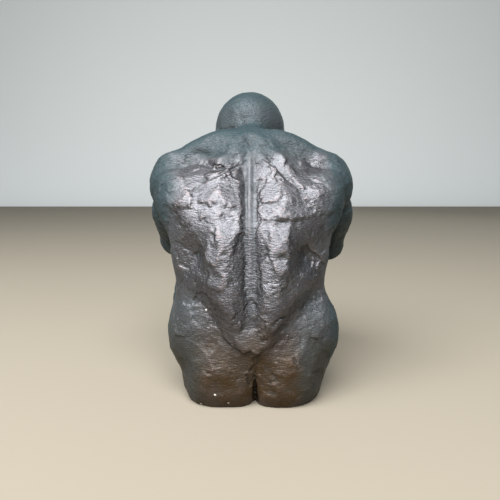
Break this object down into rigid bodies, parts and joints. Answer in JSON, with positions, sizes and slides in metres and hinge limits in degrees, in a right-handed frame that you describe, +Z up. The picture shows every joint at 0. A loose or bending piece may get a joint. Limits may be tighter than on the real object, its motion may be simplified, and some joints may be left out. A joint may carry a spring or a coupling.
{
  "type": "seated man sculpture",
  "caption": "Figure of a seated man with knees drawn up, arms round his shins and head bowed, cast in one piece, cut flat where he sits.",
  "frame": {"origin": "middle of the bounding box at the flat underside, where the figure stands on a surface", "axes": "+Z up, +Y the way the figure faces, +X its right-hand side"},
  "size_m": [0.3052, 0.3152, 0.4253],
  "materials": {
    "bronze_paint": "cast plaster painted dark bronze-brown, glossy over rough clay-modelled relief, with faint green in the recesses"
  },
  "bodies": {
    "root": {"seated_man": "bronze_paint"}
  },
  "joints": []
}
